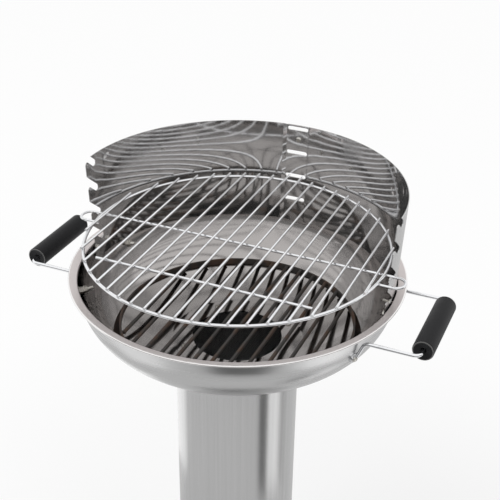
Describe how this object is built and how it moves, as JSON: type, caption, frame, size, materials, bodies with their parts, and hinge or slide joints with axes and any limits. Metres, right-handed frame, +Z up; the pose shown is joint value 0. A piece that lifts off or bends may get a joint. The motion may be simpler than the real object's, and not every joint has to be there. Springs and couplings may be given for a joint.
{
  "type": "charcoal grill",
  "caption": "Round pillar charcoal grill: deep steel bowl on a column, curved windshield with height notches, wire cooking grate, side handles, air collar and ash pan.",
  "frame": {"origin": "on the floor, on the axis of the column", "axes": "+X to the right handle, +Y to the windshield at the rear, +Z up"},
  "size_m": [0.668, 0.524, 0.881],
  "materials": {
    "brushed_sheet": "satin",
    "polished_sheet": "polished",
    "chromed_wire": "bright",
    "dark_wire": "matte",
    "black_plastic": "matte",
    "pad_rubber": "matte"
  },
  "bodies": {
    "stand": {"ash_runner_left": "brushed_sheet", "ash_runner_right": "brushed_sheet", "column": "brushed_sheet", "fire_bowl": "brushed_sheet", "foot_pad_1": "pad_rubber", "foot_pad_2": "pad_rubber", "foot_pad_3": "pad_rubber", "foot_pad_4": "pad_rubber", "foot_plate": "brushed_sheet", "handle_wire_left": "chromed_wire", "handle_wire_right": "chromed_wire", "windshield_left": "polished_sheet", "windshield_right": "polished_sheet"},
    "cooking_grate": {"grate_bar_01": "chromed_wire", "grate_bar_02": "chromed_wire", "grate_bar_03": "chromed_wire", "grate_bar_04": "chromed_wire", "grate_bar_05": "chromed_wire", "grate_bar_06": "chromed_wire", "grate_bar_07": "chromed_wire", "grate_bar_08": "chromed_wire", "grate_bar_09": "chromed_wire", "grate_bar_10": "chromed_wire", "grate_bar_11": "chromed_wire", "grate_bar_12": "chromed_wire", "grate_bar_13": "chromed_wire", "grate_bar_14": "chromed_wire", "grate_bar_15": "chromed_wire", "grate_bar_16": "chromed_wire", "grate_bar_17": "chromed_wire", "grate_bar_18": "chromed_wire", "grate_bar_19": "chromed_wire", "grate_bar_20": "chromed_wire", "grate_carrier": "chromed_wire", "grate_cross_wire": "chromed_wire", "grate_ring": "chromed_wire"},
    "charcoal_grate": {"charcoal_bar_01": "dark_wire", "charcoal_bar_02": "dark_wire", "charcoal_bar_03": "dark_wire", "charcoal_bar_04": "dark_wire", "charcoal_bar_05": "dark_wire", "charcoal_bar_06": "dark_wire", "charcoal_bar_07": "dark_wire", "charcoal_bar_08": "dark_wire", "charcoal_bar_09": "dark_wire", "charcoal_bar_10": "dark_wire", "charcoal_bar_11": "dark_wire", "charcoal_bar_12": "dark_wire", "charcoal_hoop": "dark_wire"},
    "grip_left": {"grip_left": "black_plastic"},
    "grip_right": {"grip_right": "black_plastic"},
    "air_regulator": {"air_collar": "brushed_sheet", "collar_knob": "black_plastic"},
    "ash_drawer": {"ash_pan": "brushed_sheet", "ash_pan_front": "brushed_sheet", "ash_pan_knob": "black_plastic"}
  },
  "joints": [
    {"name": "grate_lift", "type": "slide", "parent": "stand", "child": "cooking_grate", "axis": [0, -0.766, 0.6428], "range_m": [0, 0.4]},
    {"name": "charcoal_lift", "type": "slide", "parent": "stand", "child": "charcoal_grate", "axis": [0, 0, 1], "range_m": [0, 0.11]},
    {"name": "grip_left_turn", "type": "hinge", "parent": "stand", "child": "grip_left", "pos_m": [-0.318, -0.0145, 0.722], "axis": [0, 1, 0], "continuous": true},
    {"name": "grip_right_turn", "type": "hinge", "parent": "stand", "child": "grip_right", "pos_m": [0.318, -0.0145, 0.722], "axis": [0, 1, 0], "continuous": true},
    {"name": "collar_turn", "type": "hinge", "parent": "stand", "child": "air_regulator", "pos_m": [0, 0, 0.178], "axis": [0, 0, 1], "range_deg": [0, 22.5]},
    {"name": "ash_pan_slide", "type": "slide", "parent": "stand", "child": "ash_drawer", "axis": [0, -1, 0], "range_m": [0, 0.14]}
  ]
}
